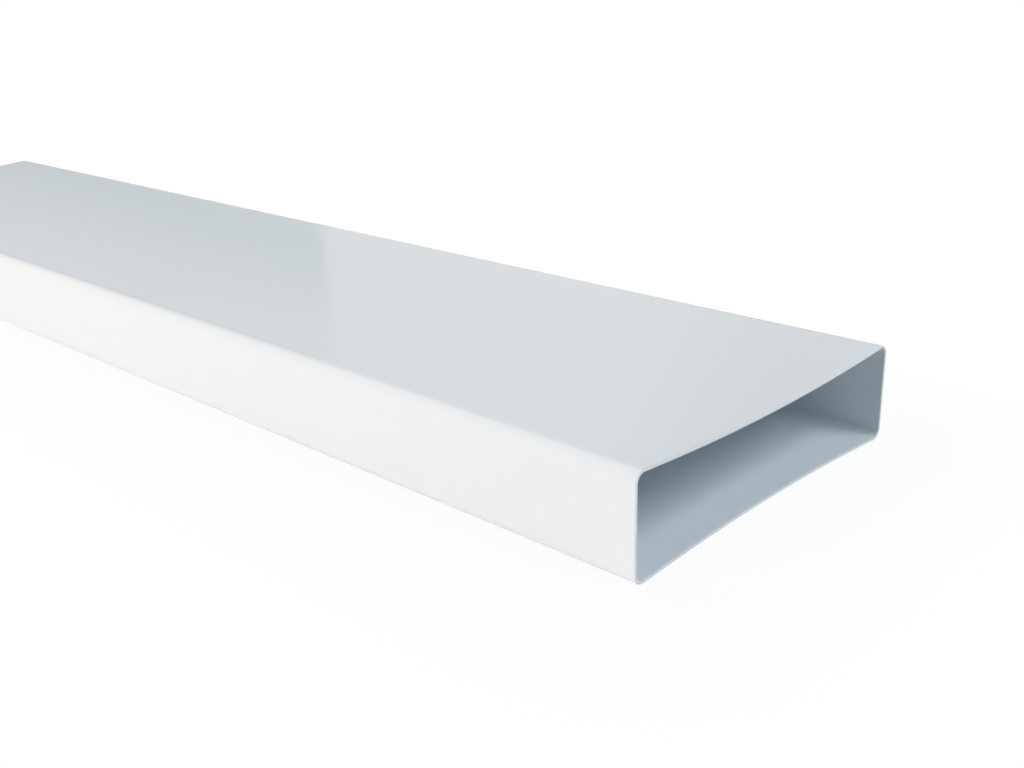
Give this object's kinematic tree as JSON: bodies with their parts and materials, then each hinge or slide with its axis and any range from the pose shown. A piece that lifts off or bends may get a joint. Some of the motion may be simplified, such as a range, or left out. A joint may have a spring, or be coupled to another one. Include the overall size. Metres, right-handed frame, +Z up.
{
  "type": "flat channel duct",
  "caption": "Straight length of flat rectangular plastic ventilation duct with thin inward-bowed walls, rounded corners and open sawn ends.",
  "frame": {"origin": "on the floor under the middle of the duct's length and width", "axes": "+X along the duct, +Y across its width, +Z up"},
  "size_m": [1, 0.22, 0.055],
  "materials": {
    "white_pvc": "gloss"
  },
  "bodies": {
    "root": {"duct_channel": "white_pvc"}
  },
  "joints": []
}
